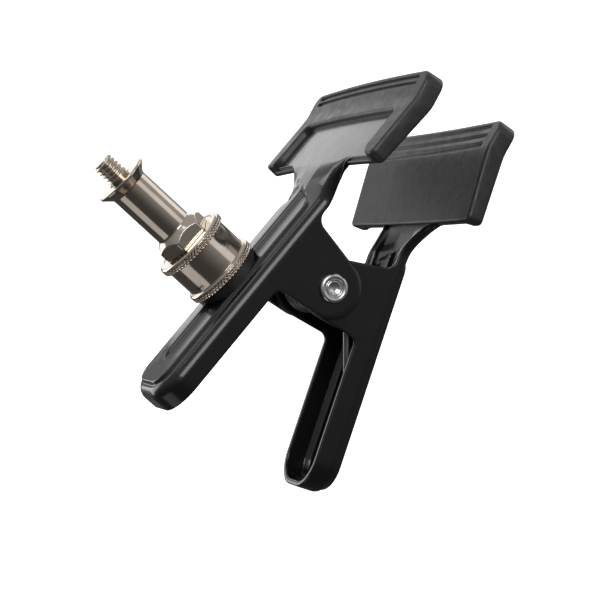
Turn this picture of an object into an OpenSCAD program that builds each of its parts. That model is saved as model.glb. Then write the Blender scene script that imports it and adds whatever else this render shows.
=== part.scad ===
// Pressed-steel spring clamp with wide rubber-booted jaws and a 16 mm spigot on its upper arm.
// Origin: centre of the spigot's top shoulder. +Z along the stud thread, +X towards the jaws.

/* [Sheet metal] */
// Thickness of the pressed sheet of both arms
sheet_t = 1.6; // [1.2:0.1:2]
// Outside radius of the long bends between web and cheeks
bend_r = 3.6; // [3:0.1:4]
// Width of the flat strip along the middle of the web
web_flat = 9.5; // [7:0.5:10.5]
// Slope of the web's two shoulders, in degrees
web_slope = 20; // [14:1:24]

/* [Arms] */
// Width across the cheeks of the upper arm
arm_w = 27.2; // [26.8:0.2:31]
// Clearance on each side where the lower arm nests in the upper one
nest_gap = 0.3; // [0.25:0.05:0.6]
// Height of the web's top above the pivot axis
web_rise = 22; // [21:0.2:25]
// Length of the handles behind the pivot axis
handle_len = 55; // [46:1:70]
// Corner radius of the handle's end, seen from above
handle_end_r = 9; // [5:0.5:10.5]
// Depth of the handle's turned-down flange below the web's top
flange_depth = 10; // [9:0.5:12]
// Radius of the pivot ears
ear_r = 8.7; // [7.5:0.1:9.5]
// Lean of the cheeks' front and rear edges, in degrees
cheek_lean = 9; // [4:1:12]
// Radius of the arch between cheek and handle flange
arch_r = 2.5; // [1.5:0.5:4]
// Radius of the throat between cheek and neck
throat_r = 3.5; // [2:0.5:3.5]
// Straight edge left below the bend along the neck
neck_lip = 0.4; // [0.2:0.1:1]
// Angle between the two webs in the stored, part-open pose
jaw_spread = 21.5; // [16:0.5:26]

/* [Jaws] */
// Width of the steel jaw plate
jaw_w = 78.8; // [64:0.4:90]
// Distance from the pivot axis to the jaw plate's rear edge
jaw_rear = 27.4; // [27.4:0.2:34]
// Length of the jaw plate up to the bend of its tip
jaw_len = 19.6; // [16:0.2:26]
// Height of the jaw plate above the flat strip of the web
jaw_rise = 1.2; // [0.4:0.2:2]
// Length of the flared tip
tip_len = 7; // [6.8:0.2:10]
// Outward flare of the tip, in degrees
tip_angle = 12; // [6:1:16]
// Radius of the jaw's curve across its width
jaw_curve_r = 1000; // [400:20:1600]
// Corner radius at the tip of the jaw plate
jaw_corner_r = 3; // [2:0.5:4]
// Radius of the flare from neck to jaw plate
flare_r = 12; // [9:0.5:12]
// Length of the neck behind its flare
neck_run = 0.8; // [0.5:0.1:1]

/* [Rubber boots] */
// Thickness of the grip face at the tip
pad_t = 2.2; // [1.6:0.1:3]
// Thickness of the grip face at its rear edge
pad_rear_t = 1.2; // [1:0.1:1.6]
// Thickness of the bands over the jaw's outer face
band_t = 1.2; // [0.8:0.1:1.6]
// Wall round the sides and tip of the plate
boot_wall = 1.6; // [1.2:0.1:2.4]
// Overhang of the boot behind the plate's rear edge
boot_overhang = 0.8; // [0.4:0.1:1.4]
// Width of the band along the tip
band_tip = 13; // [11:0.5:16]
// Width of the bands along the sides
band_side = 8; // [6:0.5:10]
// Inside corner radius of the boot's opening
opening_r = 2.5; // [1.5:0.5:4]
// Radius of the side bands' rear ends
band_end_r = 4; // [2:0.5:5]
// Corner radius at the tip of the boot
boot_corner_r = 4; // [3:0.5:6]
// Gap between the plate and the boot stretched over it
boot_gap = 0.05; // [0.04:0.01:0.1]
// Width of the grip grooves
groove_w = 1.1; // [0.8:0.1:1.4]
// Depth of the grip grooves
groove_depth = 0.6; // [0.4:0.1:0.7]
// Distance of the first groove from the tip
groove_start = 2.1; // [1.8:0.1:2.2]
// Spacing of the grooves in the grip face
grip_pitch = 2.8; // [2.2:0.1:2.9]
// Number of grooves in the grip face
grip_grooves = 3; // [1:1:3]
// Spacing of the grooves in the outer tip band
band_pitch = 2; // [1.8:0.1:2.4]
// Number of grooves in the outer tip band
band_grooves = 2; // [1:1:2]
// Distance of the grooves' ends from the boot's sides
groove_margin = 5; // [4:0.5:8]

/* [Pivot] */
// Distance of the pivot axis ahead of the spigot axis
pivot_x = 15.2; // [14:0.2:20]
// Diameter of the rivet's shank
rivet_d = 6; // [5:0.1:6.6]
// Diameter of the rivet's rolled heads
rivet_head_d = 8.2; // [8:0.1:10]
// Radius of the heads' rolled rims
rivet_rim_r = 0.65; // [0.5:0.05:0.9]
// Depth of the dimple in the heads
rivet_dimple = 0.8; // [0.4:0.1:1]
// Running clearance round the rivet, on the radius
run_gap = 0.05; // [0.03:0.01:0.1]
// Wall of the spacer sleeve
sleeve_wall = 1.4; // [1:0.1:1.8]
// Gap at each end of the sleeve
sleeve_end_gap = 0.2; // [0.1:0.05:0.4]

/* [Torsion spring] */
// Diameter of the spring wire
wire_d = 2.2; // [1.6:0.1:2.4]
// Gap between sleeve and coil
coil_gap = 0.7; // [0.5:0.1:1]
// Whole turns of the coil
coil_turns = 5; // [3:1:5]
// Pitch of the coil
coil_pitch = 3.1; // [2.9:0.1:3.3]
// Reach of the legs behind the pivot axis
leg_reach = 30; // [26:1:34]
// Gap between a leg and the web it bears on
leg_gap = 0.3; // [0.2:0.05:0.5]

/* [Spigot] */
// Diameter of the stud thread
thread_d = 6.35; // [6.35:0.05:9.55]
// Length of the stud thread
thread_len = 6.8; // [6:0.2:12]
// Chamfer at the thread's end
thread_chamfer = 0.6; // [0.3:0.1:1]
// Diameter of the spigot's rim
rim_d = 16; // [15.8:0.1:16.2]
// Height of the rim's straight wall
rim_h = 1.2; // [1:0.1:2]
// Height of the cone under the rim
rim_cone = 2; // [1:0.2:3]
// Diameter of the waist
waist_d = 11.4; // [10:0.2:12.4]
// Length of the waist
waist_len = 17; // [14:0.5:24]
// Height of the cone above the hexagon
hex_cone = 2.4; // [1.6:0.2:3]
// Width across flats of the hexagon
hex_af = 14; // [13:0.2:15]
// Height of the hexagon
hex_h = 3; // [2:0.2:5]

/* [Spigot base] */
// Overall height of the base
base_h = 13.6; // [11:0.2:18]
// Diameter of the base between its rings
base_d = 20.2; // [18:0.2:20.6]
// Diameter of the two knurled rings
ring_d = 22.4; // [21.4:0.2:24]
// Height of each ring
ring_h = 2.4; // [2:0.1:3]
// Edge radius of the rings
ring_edge_r = 0.5; // [0.3:0.1:0.8]
// Thickness of the saddle washer over the flat strip of the web
saddle_t = 1.5; // [0.8:0.1:2]
// Diameter of the saddle washer
saddle_d = 20.8; // [18:0.2:21]

/* [Base bolt] */
// Diameter of the bolt
bolt_d = 8; // [6:0.5:8]
// Clearance of the bolt in the web, base and washers, on the radius
bolt_gap = 0.2; // [0.1:0.05:0.3]
// Clearance of the bolt's thread in the spigot, on the radius
tap_gap = 0.05; // [0.03:0.01:0.1]
// Depth of the bolt in the spigot
bolt_engage = 9; // [6:0.5:12]
// Width across flats of the bolt's head
bolt_af = 13; // [11:0.5:13]
// Height of the bolt's head
bolt_head_h = 5.3; // [4:0.1:5.6]
// Diameter of the plain washer
washer_d = 15; // [13.5:0.5:15.5]
// Thickness of the plain washer
washer_t = 1.6; // [1:0.1:1.8]
// Diameter of the split lock washer
lock_d = 13; // [12:0.2:13.4]
// Thickness of the split lock washer
lock_t = 1.8; // [1.4:0.1:2]
// Width of the lock washer's split
lock_split = 1; // [0.6:0.1:1.4]

/* [Hidden] */
$fn = 64;

// Heights down the spigot's axis
spigot_h = hex_h + hex_cone + waist_len + rim_cone + rim_h;
base_top_z = -spigot_h;
seat_z = base_top_z - base_h;
web_top_z = seat_z - saddle_t;
pivot_z = web_top_z - web_rise;

// Half widths of the two nested arms
upper_half = arm_w / 2;
lower_half = upper_half - sheet_t - nest_gap;

// How far cutting shapes run past what they cut
cut = 1;
// Step by which the neck's sheet is sunk into the sheets at its two ends, and its overlap there
seam_step = 0.06;
seam_overlap = 1.5;
// Turn from one station of the neck's flare to the next, in degrees
flare_step = 15;
// Step by which straight edges run into round ones
edge_step = 0.03;
// Front end of the channel, where the neck starts
neck_x = jaw_rear - flare_r - neck_run;
bend_x = jaw_rear + jaw_len;
plate_z = web_rise + jaw_rise;
boot_rear_x = jaw_rear - boot_overhang;
boot_half = jaw_w / 2 + boot_wall;
boot_tip_len = tip_len + boot_wall;
opening_half = boot_half - band_side;

// Web section: where the shoulder meets the bend, and the height of the bend's centre
function bend_y(half) = half - bend_r;
function shoulder_end(half) = bend_y(half) + bend_r * sin(web_slope);
function shoulder_drop(y) = (y - web_flat / 2) * tan(web_slope);
function bend_z(half) = -shoulder_drop(shoulder_end(half)) - bend_r * cos(web_slope);
function flat_half(inset) = web_flat / 2 - inset * tan(web_slope / 2);
function neck_z(half) = web_rise + bend_z(half) - neck_lip;
// Half length of a cheek at a height above the pivot
function cheek_x(z) = (ear_r + z * sin(cheek_lean)) / cos(cheek_lean);
// Drop of the curved jaw plate at a distance from its middle
function jaw_sag(y) = jaw_curve_r - sqrt(jaw_curve_r * jaw_curve_r - y * y);
function smooth(u) = let (v = max(0, min(1, u))) v * v * (3 - 2 * v);

module at_pivot() translate([pivot_x, 0, pivot_z]) children();
module at_lower_arm() at_pivot() rotate([0, -jaw_spread, 0]) mirror([0, 0, 1]) children();

// Carries a shape drawn in Y and Z along X
module along_x(from, to) translate([from, 0, 0]) rotate([90, 0, 90]) linear_extrude(to - from) children();
// Carries a shape drawn in X and Z across the whole width
module across_y(width) rotate([90, 0, 0]) linear_extrude(width, center = true) children();

// Everything under the web's outer skin, or under its inner skin when inset by the sheet
module web_section(half, inset) {
    r = bend_r - inset;
    top = web_rise + bend_z(half);
    edge = bend_y(half) + r * sin(web_slope);
    side = [[half - inset, -ear_r - cut], [half - inset, top],
        [edge, top + r * cos(web_slope)], [flat_half(inset), web_rise - inset]];
    polygon(concat(side, [for (i = [3:-1:0]) [-side[i][0], side[i][1]]]));
    for (s = [-1, 1]) translate([s * bend_y(half), top]) circle(r);
}

// Handle seen from above, with its two rounded corners
module handle_plan(half, inset, front) {
    r = handle_end_r - inset;
    rear = -handle_len + handle_end_r;
    translate([rear, -half + inset]) square([front - rear, 2 * (half - inset)]);
    translate([-handle_len + inset, -half + handle_end_r]) square([handle_end_r, 2 * (half - handle_end_r)]);
    for (s = [-1, 1]) translate([rear, s * (half - handle_end_r)]) circle(r);
}

// Concave corner between a cheek's leaning edge and a level edge above it
module edge_fillet(level, r) {
    n = [cos(cheek_lean), -sin(cheek_lean)];
    d = r - edge_step;
    c = [(ear_r + d + (level - d) * sin(cheek_lean)) / cos(cheek_lean), level - d];
    difference() {
        polygon([c, [c[0], level + cut], [cheek_x(level) - cut, level + cut], c - (d + cut) * n]);
        translate(c) circle(r);
    }
}

// Side view of an arm up to the neck: handle, cheek with its ear, arch and throat
module side_profile(half) {
    flange_z = web_rise - flange_depth;
    ear = (ear_r - edge_step) * [cos(cheek_lean), -sin(cheek_lean)];
    translate([-handle_len - cut, flange_z]) square([handle_len + cut, flange_depth + cut]);
    translate([0, neck_z(half)]) square([neck_x, web_rise - neck_z(half) + cut]);
    polygon([[-ear[0], ear[1]], ear, [cheek_x(neck_z(half)), neck_z(half)],
        [0, neck_z(half) + cut], [-cheek_x(flange_z), flange_z]]);
    circle(ear_r);
    edge_fillet(neck_z(half), throat_r);
    mirror([1, 0]) edge_fillet(flange_z, arch_r);
}

// Crowned channel with handle, wrapped end and cheeks
module channel(half) intersection() {
    difference() {
        intersection() {
            along_x(-handle_len, neck_x) web_section(half, 0);
            translate([0, 0, -ear_r - cut]) linear_extrude(web_rise + ear_r + 2 * cut)
                handle_plan(half, 0, neck_x);
        }
        intersection() {
            along_x(-handle_len, neck_x + cut) web_section(half, sheet_t);
            translate([0, 0, -ear_r - 2 * cut]) linear_extrude(web_rise + ear_r + 2 * cut)
                handle_plan(half, sheet_t, neck_x + cut);
        }
    }
    across_y(arm_w + 2 * cut) side_profile(half);
}

// Half of the neck's section at the channel, from the middle to the edge
neck_steps = 4;
function channel_half(half, inset, lift) = let (r = bend_r - inset, z = bend_z(half)) concat(
    [[0, -inset], [flat_half(inset), -inset]],
    [for (i = [0:neck_steps]) let (a = web_slope + (90 - web_slope) * i / neck_steps)
        [bend_y(half) + r * sin(a), z + r * cos(a)]],
    [[half - inset, z - neck_lip + lift]]);
// The same points spread over the jaw plate's width
function plate_half(half, width, inset, skin) =
    [for (p = skin) let (y = p[0] * (width - seam_step) / (half - seam_step)) [y, jaw_rise - jaw_sag(y) - inset]];
function mix(a, b, k) = [for (i = [0:len(a) - 1]) (1 - k) * a[i] + k * b[i]];
// One closed ring: outer skin from right to left, then the inner skin back
function neck_ring(half, x, width) = let (
    k = smooth((x - neck_x) / (boot_rear_x - neck_x)),
    skin = channel_half(half, seam_step, seam_step),
    back = channel_half(half, sheet_t - seam_step, seam_step),
    outer = mix(skin, plate_half(half, width, seam_step, skin), k),
    inner = mix(back, plate_half(half, width, sheet_t - seam_step, skin), k),
    n = len(outer) - 1)
    [for (p = concat(
        [for (i = [n:-1:0]) outer[i]], [for (i = [1:n]) [-outer[i][0], outer[i][1]]],
        [for (i = [n:-1:1]) [-inner[i][0], inner[i][1]]], [for (i = [0:n]) inner[i]]))
        [x, p[0], web_rise + p[1]]];

// Neck: the crowned section flattens and flares into the jaw plate
module neck(half) {
    turn = [for (a = [0:flare_step:90])
        [jaw_rear - flare_r + flare_r * sin(a), half + flare_r * (1 - cos(a))]];
    stations = concat([[neck_x - seam_overlap, half], [neck_x, half]], turn,
        [[jaw_rear + seam_overlap, half + flare_r]]);
    rings = [for (s = stations) neck_ring(half, s[0], s[1])];
    m = len(rings[0]);
    last = len(rings) - 1;
    walls = [for (i = [0:last - 1], j = [0:m - 1]) let (k = (j + 1) % m, a = i * m, b = a + m)
        each [[a + j, b + j, b + k], [a + j, b + k, a + k]]];
    ends = [for (j = [0:m / 2 - 2]) let (k = m - 1 - j, e = last * m)
        each [[j, j + 1, k - 1], [j, k - 1, k], [e + j, e + k - 1, e + j + 1], [e + j, e + k, e + k - 1]]];
    polyhedron([for (r = rings) each r], concat(walls, ends));
}

// Point of the jaw's side view: distance along the flared tip and height off the plate's outer face
function tip_point(along, off) = [bend_x + along * cos(tip_angle) - off * sin(tip_angle),
    along * sin(tip_angle) + off * cos(tip_angle)];
function tip_bend(off) = [bend_x - off * tan(tip_angle / 2), off];

// Turns a side view about the axis of the jaw's curve
module jaw_turn(points) {
    arc = 2 * asin((boot_half + cut) / jaw_curve_r);
    translate([0, 0, plate_z - jaw_curve_r]) rotate([0, -90, 0]) rotate([0, 0, -arc / 2])
        rotate_extrude(angle = arc, $fn = 360) polygon([for (p = points) [jaw_curve_r + p[1], -p[0]]]);
}
// Layer of the jaw between two heights off the plate's outer face, the lower one its own at the rear
module jaw_layer(rear, rear_low, low, high, length) jaw_turn([[rear, high], tip_bend(high),
    tip_point(length, high), tip_point(length, low), tip_bend(low), [rear, rear_low]]);
// Upright prism over a plan
module jaw_prism() translate([0, 0, web_rise / 2]) linear_extrude(web_rise) children();
// Jaw seen from above, with rounded corners at the tip
module jaw_plan(rear, half, length, r) {
    front = bend_x + length * cos(tip_angle) + edge_step;
    translate([rear, -half]) square([front - r - rear, 2 * half]);
    translate([rear, -half + r]) square([front - rear + cut, 2 * (half - r)]);
    for (s = [-1, 1]) translate([front - r, s * (half - r)]) circle(r);
}

module jaw_plate() intersection() {
    jaw_layer(jaw_rear, -sheet_t, -sheet_t, 0, tip_len);
    jaw_prism() jaw_plan(jaw_rear, jaw_w / 2, tip_len, jaw_corner_r);
}

module pivot_axis(half_width, d) rotate([90, 0, 0]) cylinder(h = 2 * half_width, d = d, center = true);

module arm(half, bore_d) difference() {
    union() {
        channel(half);
        neck(half);
        jaw_plate();
    }
    pivot_axis(half + cut, bore_d);
}

module upper_arm() color("black") difference() {
    at_pivot() arm(upper_half, rivet_d + 2 * run_gap);
    translate([0, 0, web_top_z - web_rise / 2]) cylinder(h = web_rise, d = bolt_d + 2 * bolt_gap);
}

module lower_arm() color("black") at_lower_arm() arm(lower_half, rivet_d + 2 * run_gap);

// Opening over the jaw's outer face, with round corners in front and round band ends behind
module opening_plan() {
    front = bend_x + boot_tip_len * cos(tip_angle) - band_tip;
    rear = boot_rear_x - cut;
    translate([rear, -opening_half]) square([front - opening_r - rear, 2 * opening_half]);
    translate([rear, -opening_half + opening_r]) square([front - rear, 2 * (opening_half - opening_r)]);
    for (s = [-1, 1]) {
        translate([front - opening_r, s * (opening_half - opening_r)]) circle(opening_r);
        mirror([0, s < 0 ? 1 : 0]) difference() {
            translate([rear, opening_half - cut]) square([band_end_r + cut, band_end_r + cut]);
            translate([boot_rear_x + band_end_r, opening_half + band_end_r]) circle(band_end_r);
        }
    }
}

// Groove along the tip, cut from one face to a depth
module groove(along, face, floor) intersection() {
    jaw_turn([tip_point(along - groove_w / 2, face), tip_point(along + groove_w / 2, face),
        tip_point(along + groove_w / 2, floor), tip_point(along - groove_w / 2, floor)]);
    jaw_prism()
        translate([0, -boot_half + groove_margin]) square([2 * bend_x, 2 * (boot_half - groove_margin)]);
}

module jaw_boot() {
    grip_face = -sheet_t - pad_t;
    plate_face = -sheet_t - boot_gap;
    plate_middle = -sheet_t / 2;
    difference() {
        intersection() {
            jaw_layer(boot_rear_x, -sheet_t - pad_rear_t, grip_face, band_t, boot_tip_len);
            jaw_prism() jaw_plan(boot_rear_x, boot_half, boot_tip_len, boot_corner_r);
        }
        intersection() {
            jaw_layer(boot_rear_x - cut, plate_face, plate_face, boot_gap, tip_len + boot_gap);
            jaw_prism() jaw_plan(boot_rear_x - cut, jaw_w / 2 + boot_gap, tip_len + boot_gap, jaw_corner_r);
        }
        intersection() {
            jaw_layer(boot_rear_x - cut, plate_middle, plate_middle, band_t + cut, boot_tip_len);
            jaw_prism() opening_plan();
        }
        for (i = [0:grip_grooves - 1])
            groove(boot_tip_len - groove_start - i * grip_pitch, grip_face - cut, grip_face + groove_depth);
        for (i = [0:band_grooves - 1])
            groove(boot_tip_len - groove_start - i * band_pitch, band_t + cut, band_t - groove_depth);
    }
}

module upper_jaw_boot() color("dimgray") at_pivot() jaw_boot();
module lower_jaw_boot() color("dimgray") at_lower_arm() jaw_boot();

// Half of a rivet head's side view: flat disc, rolled rim and dimple
module rivet_head_profile() difference() {
    union() {
        square([rivet_head_d / 2 - rivet_rim_r, 2 * rivet_rim_r]);
        translate([rivet_head_d / 2 - rivet_rim_r, rivet_rim_r]) circle(rivet_rim_r);
    }
    polygon([[0, 2 * rivet_rim_r - rivet_dimple], [rivet_head_d / 2 - 2 * rivet_rim_r - rivet_dimple,
        2 * rivet_rim_r - rivet_dimple], [rivet_head_d / 2 - 2 * rivet_rim_r, 2 * rivet_rim_r],
        [rivet_head_d / 2 - 2 * rivet_rim_r, 2 * rivet_rim_r + cut], [0, 2 * rivet_rim_r + cut]]);
}

module pivot_rivet() color("gainsboro") at_pivot() {
    pivot_axis(upper_half, rivet_d);
    for (side = [0, 1]) mirror([0, side, 0]) translate([0, upper_half, 0]) rotate([-90, 0, 0])
        rotate_extrude() rivet_head_profile();
}

sleeve_half = lower_half - sheet_t - sleeve_end_gap;
sleeve_d = rivet_d + 2 * run_gap + 2 * sleeve_wall;

module pivot_sleeve() color("silver") at_pivot() difference() {
    pivot_axis(sleeve_half, sleeve_d);
    pivot_axis(sleeve_half + cut, rivet_d + 2 * run_gap);
}

// Spring path in the pivot's frame: a leg on each web, tangent to the coil, at opposite ends
rings_per_turn = 8;
wire_sides = 6;
coil_r = sleeve_d / 2 + coil_gap + wire_d / 2;
function plane(r, a) = [r * cos(a), r * sin(a)];
// Height of a leg's end under the inner face of the shoulder it bears on
function leg_z(y) = web_rise - shoulder_drop(y) - (sheet_t + leg_gap + wire_d / 2) / cos(web_slope);
function leg_angle(y) = let (z = leg_z(y)) atan2(z, -leg_reach) - acos(coil_r / norm([leg_reach, z]));
// Share of a turn by which the coil runs past its whole turns, its half length and its wire's angle
extra_turn = 1 / 3;
coil_half = (coil_turns + extra_turn) * coil_pitch / 2;
top_angle = leg_angle(coil_half);
coil_angle = 2 * top_angle - jaw_spread + 360 * coil_turns;
coil_rings = round(coil_angle * rings_per_turn / 360);
top_end = [-leg_reach, leg_z(coil_half)];
low_end = let (e = [-leg_reach, -leg_z(coil_half)], c = cos(jaw_spread), s = sin(jaw_spread))
    [c * e[0] - s * e[1], s * e[0] + c * e[1]];
coil_path = [for (i = [0:coil_rings]) let (u = i / coil_rings, p = plane(coil_r, top_angle - u * coil_angle))
    [p[0], coil_half * (1 - 2 * u), p[1]]];
spring_path = concat([[top_end[0], coil_half, top_end[1]]], coil_path,
    [[low_end[0], -coil_half, low_end[1]]]);
spring_last = len(spring_path) - 1;
// Direction of the wire at a point of the path, along its two neighbours or along a leg
function wire_run(i) = let (
    a = i <= 1 ? 0 : i >= spring_last - 1 ? spring_last - 1 : i - 1,
    b = i <= 1 ? 1 : i >= spring_last - 1 ? spring_last : i + 1,
    d = spring_path[b] - spring_path[a]) [d[0], 0, d[2]] / norm([d[0], d[2]]);
function wire_ring(i) = let (t = wire_run(i), n = [-t[2], 0, t[0]])
    [for (j = [0:wire_sides - 1]) let (q = plane(wire_d / 2, 360 * j / wire_sides))
        spring_path[i] + q[0] * n + [0, q[1], 0]];
// Least gap of the wire to itself, between points more than half a turn apart
spring_gap = min([for (i = [0:spring_last], j = [i + rings_per_turn / 2:1:spring_last])
    norm(spring_path[i] - spring_path[j])]) - wire_d;
echo(spring_gap = spring_gap);

module torsion_spring() color("darkgray") at_pivot() {
    m = wire_sides;
    walls = [for (i = [0:spring_last - 1], j = [0:m - 1]) let (k = (j + 1) % m, a = i * m, b = a + m)
        each [[a + j, b + k, b + j], [a + j, a + k, b + k]]];
    ends = [for (j = [1:m - 2]) let (e = spring_last * m) each [[0, j + 1, j], [e, e + j, e + j + 1]]];
    polyhedron([for (i = [0:spring_last]) each wire_ring(i)], concat(walls, ends));
}

// Hexagon whose upper corners are turned off to a cone
module spigot_hexagon() {
    corner_r = hex_af / sqrt(3);
    intersection() {
        cylinder(h = hex_h + hex_cone, r = corner_r, $fn = 6);
        rotate_extrude() polygon([[0, 0], [corner_r, 0], [corner_r, hex_h], [waist_d / 2, hex_h + hex_cone],
            [0, hex_h + hex_cone]]);
    }
}

module spigot() color("silver") difference() {
    union() {
        translate([0, 0, base_top_z]) spigot_hexagon();
        rotate_extrude() polygon([[0, base_top_z + hex_h], [waist_d / 2, base_top_z + hex_h],
            [waist_d / 2, -rim_h - rim_cone], [rim_d / 2, -rim_h], [rim_d / 2, 0], [thread_d / 2, 0],
            [thread_d / 2, thread_len - thread_chamfer], [thread_d / 2 - thread_chamfer, thread_len],
            [0, thread_len]]);
    }
    translate([0, 0, base_top_z - cut]) cylinder(h = bolt_engage + 2 * cut, d = bolt_d + 2 * tap_gap);
}

// Half of a ring's side view, with round edges
module ring_profile() {
    r = ring_edge_r;
    square([ring_d / 2 - r, ring_h]);
    translate([0, r]) square([ring_d / 2, ring_h - 2 * r]);
    for (z = [r, ring_h - r]) translate([ring_d / 2 - r, z]) circle(r);
}

module spigot_base() color("silver") translate([0, 0, seat_z]) difference() {
    rotate_extrude() {
        square([base_d / 2, base_h]);
        ring_profile();
        translate([0, base_h - ring_h]) ring_profile();
    }
    translate([0, 0, -cut]) cylinder(h = base_h + 2 * cut, d = bolt_d + 2 * bolt_gap);
}

module saddle_washer() color("black") difference() {
    translate([0, 0, web_top_z - web_rise / 2]) cylinder(h = web_rise / 2 + saddle_t, d = saddle_d);
    at_pivot() along_x(-pivot_x - saddle_d, -pivot_x + saddle_d) web_section(upper_half, 0);
    translate([0, 0, web_top_z - web_rise / 2 - cut]) cylinder(h = web_rise, d = bolt_d + 2 * bolt_gap);
}

// The plain washer's rim meets the inside of the web's shoulders
washer_z = web_top_z - shoulder_drop(washer_d / 2) - sheet_t / cos(web_slope) - washer_t;
lock_z = washer_z - lock_t;

module plain_washer() color("silver") translate([0, 0, washer_z]) difference() {
    cylinder(h = washer_t, d = washer_d);
    translate([0, 0, -cut]) cylinder(h = washer_t + 2 * cut, d = bolt_d + 2 * bolt_gap);
}

module lock_washer() color("silver") translate([0, 0, lock_z]) difference() {
    cylinder(h = lock_t, d = lock_d);
    translate([0, 0, -cut]) cylinder(h = lock_t + 2 * cut, d = bolt_d + 2 * bolt_gap);
    translate([-lock_d, -lock_split / 2, -cut]) cube([lock_d, lock_split, lock_t + 2 * cut]);
}

module base_bolt() color("silver") {
    translate([0, 0, lock_z - bolt_head_h]) cylinder(h = bolt_head_h, r = bolt_af / sqrt(3), $fn = 6);
    translate([0, 0, lock_z - bolt_head_h / 2])
        cylinder(h = base_top_z + bolt_engage - lock_z + bolt_head_h / 2, d = bolt_d);
}

upper_arm();
lower_arm();
upper_jaw_boot();
lower_jaw_boot();
pivot_rivet();
pivot_sleeve();
torsion_spring();
spigot();
spigot_base();
saddle_washer();
base_bolt();
plain_washer();
lock_washer();
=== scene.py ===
"""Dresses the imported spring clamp: smooth sheet-metal arms, rubber boots, turned spigot and studio.

Sizes are in millimetres in each class and become metres only when a mesh is made. An arm's own
frame has its origin on the pivot axis, x towards the jaws, y along the axis and z from the pivot to
the web.
"""
import logging
import math
from dataclasses import dataclass, field
from enum import Enum
from typing import NamedTuple, Optional

import bmesh
import bpy
import numpy as np
from mathutils import Matrix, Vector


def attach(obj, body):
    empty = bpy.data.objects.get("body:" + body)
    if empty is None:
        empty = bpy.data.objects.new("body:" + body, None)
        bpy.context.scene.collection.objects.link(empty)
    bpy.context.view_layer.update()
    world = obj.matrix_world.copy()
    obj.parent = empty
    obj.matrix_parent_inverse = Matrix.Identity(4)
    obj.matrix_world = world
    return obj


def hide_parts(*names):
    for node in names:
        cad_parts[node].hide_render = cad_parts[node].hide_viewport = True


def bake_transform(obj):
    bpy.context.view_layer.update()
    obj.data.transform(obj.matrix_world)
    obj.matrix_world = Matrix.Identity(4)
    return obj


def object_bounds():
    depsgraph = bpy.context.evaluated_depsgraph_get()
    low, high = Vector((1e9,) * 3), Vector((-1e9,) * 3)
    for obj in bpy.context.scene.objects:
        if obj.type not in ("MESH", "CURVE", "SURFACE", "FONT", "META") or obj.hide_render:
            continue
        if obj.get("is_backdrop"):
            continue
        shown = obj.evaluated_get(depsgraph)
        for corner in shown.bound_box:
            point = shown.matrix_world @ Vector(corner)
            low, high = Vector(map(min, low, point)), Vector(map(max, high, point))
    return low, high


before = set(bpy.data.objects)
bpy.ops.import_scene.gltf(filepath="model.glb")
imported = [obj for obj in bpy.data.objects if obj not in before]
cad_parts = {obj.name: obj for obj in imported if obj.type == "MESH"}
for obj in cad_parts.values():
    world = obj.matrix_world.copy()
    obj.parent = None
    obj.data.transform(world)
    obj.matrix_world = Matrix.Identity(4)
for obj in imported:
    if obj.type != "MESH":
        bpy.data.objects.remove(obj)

Array = np.ndarray
Triple = tuple[float, float, float]
LOG = logging.getLogger("spring_clamp")
MM = 0.001
TINY = 1e-9
FULL_TURN, HALF_TURN, QUARTER_TURN = 2 * math.pi, math.pi, math.pi / 2

# Sizes that several pieces share.
PIVOT: Triple = (15.2, 0.0, -62.7)
SPREAD = math.radians(21.5)
SHEET_T = 1.6
UPPER_HALF = 13.6
LOWER_HALF = 11.7
WEB_RISE = 22.0
WEB_FLAT = 9.5
SHOULDER = math.radians(20.0)
BOOT_REAR = 26.6


class Body(Enum):
    """The two bodies that the hinge joins."""

    UPPER = "upper"
    LOWER = "lower"


class Slot(Enum):
    """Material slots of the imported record."""

    PAINT = "black_paint"
    BOOT = "boot_rubber"
    NICKEL = "nickel"
    ZINC = "zinc_steel"
    SPRING = "spring_steel"


class Axis(Enum):
    """Axis about which a turned piece was cut, as the turn that brings it onto z."""

    ALONG_Z = (0.0, 0.0, 0.0)
    ALONG_Y = (QUARTER_TURN, 0.0, 0.0)


class Surface(NamedTuple):
    """Points in millimetres, quads, and the distance below which points are merged."""

    points: Array
    quads: Array
    merge: float = 0.0


# ------------------------------------------------------------------------------- numpy helpers

def smooth(u: Array) -> Array:
    """Cubic step v^2 (3 - 2v) of u clipped to 0..1."""
    v = np.clip(u, 0.0, 1.0)
    return v * v * (3.0 - 2.0 * v)


def soft_ramp(d: Array, rho: float) -> Array:
    """Ramp max(0, d) whose corner is rounded: (d + sqrt(d^2 + rho^2)) / 2."""
    return 0.5 * (d + np.sqrt(d * d + rho * rho))


def round_off(d: Array, r: float) -> Array:
    """Setback r - sqrt(r^2 - (r - d)^2) of a quarter circle at d inside its tangent."""
    k = np.clip(r - d, 0.0, r)
    return r - np.sqrt(np.maximum(r * r - k * k, 0.0))


def corner_depth(du: Array, dy: Array, r: float) -> Array:
    """Depth min(du, dy) inside two edges, or r - hypot(r - du, r - dy) at their round corner."""
    qx, qy = np.maximum(r - du, 0.0), np.maximum(r - dy, 0.0)
    return np.where((qx > 0) & (qy > 0), r - np.hypot(qx, qy), np.minimum(du, dy))


def unit(v: Array) -> Array:
    """Vectors brought to length 1 over the last axis."""
    return v / np.maximum(np.linalg.norm(v, axis=-1, keepdims=True), TINY)


def ring(start: float, stop: float, count: int) -> Array:
    """Points (cos a, sin a) at even angles from start to stop."""
    a = np.linspace(start, stop, count)
    return np.stack([np.cos(a), np.sin(a)], axis=-1)


def joined(*runs: Array) -> Array:
    """Joins runs end to end and drops each later run's repeated first entry."""
    return np.concatenate([runs[0]] + [r[1:] for r in runs[1:]])


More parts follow.
